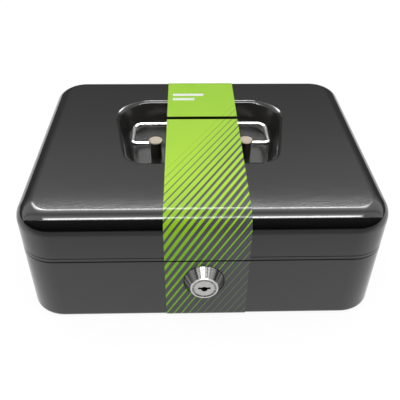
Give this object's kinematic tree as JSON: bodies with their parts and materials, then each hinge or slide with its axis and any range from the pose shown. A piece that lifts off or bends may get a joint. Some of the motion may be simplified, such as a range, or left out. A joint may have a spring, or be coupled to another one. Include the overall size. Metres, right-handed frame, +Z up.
{
  "type": "cash box",
  "caption": "Black steel cash box: rounded hinged lid with a wire handle in a pressed well, front cam lock, lift-out coin tray and a green printed card sleeve.",
  "frame": {"origin": "centre of the footprint on the plane the box rests on", "axes": "+Z is up, the lock's front faces -Y and the hinges are at +Y, +X is to the right seen from the front"},
  "size_m": [0.25, 0.214, 0.0905],
  "materials": {
    "black_paint": "semi-gloss black enamel",
    "steel": "zinc-bright steel",
    "stud_steel": "turned, warm nickel tint",
    "bright_chrome": "polished",
    "tray_plastic": "fine moulded texture",
    "printed_card": "printed, satin"
  },
  "bodies": {
    "base": {"base_shell": "black_paint", "hinge_base_leaf_left": "black_paint", "hinge_base_leaf_right": "black_paint", "hinge_pin_left": "steel", "hinge_pin_right": "steel", "hinge_base_rivets": "steel", "lock_housing": "bright_chrome", "lock_washer": "steel", "lock_nut": "steel", "tray_ledge_left": "black_paint", "tray_ledge_right": "black_paint", "sleeve_base_front": "printed_card", "sleeve_base_rear": "printed_card"},
    "lid": {"lid_shell": "black_paint", "lid_catch": "steel", "hinge_lid_leaf_left": "black_paint", "hinge_lid_leaf_right": "black_paint", "hinge_lid_rivets": "steel", "handle_stud_left": "stud_steel", "handle_stud_right": "stud_steel", "handle_stud_washers": "steel", "sleeve_lid_front": "printed_card", "sleeve_lid_rear": "printed_card"},
    "handle": {"handle_bail": "bright_chrome"},
    "lock_core": {"lock_plug": "bright_chrome", "lock_cam": "steel", "cam_screw": "steel"},
    "tray": {"coin_tray": "tray_plastic"}
  },
  "joints": [
    {"name": "lid_hinge", "type": "hinge", "parent": "base", "child": "lid", "pos_m": [0, 0.1028, 0.055], "axis": [-1, 0, 0], "range_deg": [0, 105]},
    {"name": "handle_swing", "type": "hinge", "parent": "lid", "child": "handle", "pos_m": [0, -0.0005, 0.084], "axis": [1, 0, 0], "range_deg": [-20, 160]},
    {"name": "lock_turn", "type": "hinge", "parent": "base", "child": "lock_core", "pos_m": [0, -0.1, 0.036], "axis": [0, 1, 0], "range_deg": [0, 90]},
    {"name": "tray_lift", "type": "slide", "parent": "base", "child": "tray", "axis": [0, 0, 1], "range_m": [0, 0.016]}
  ]
}
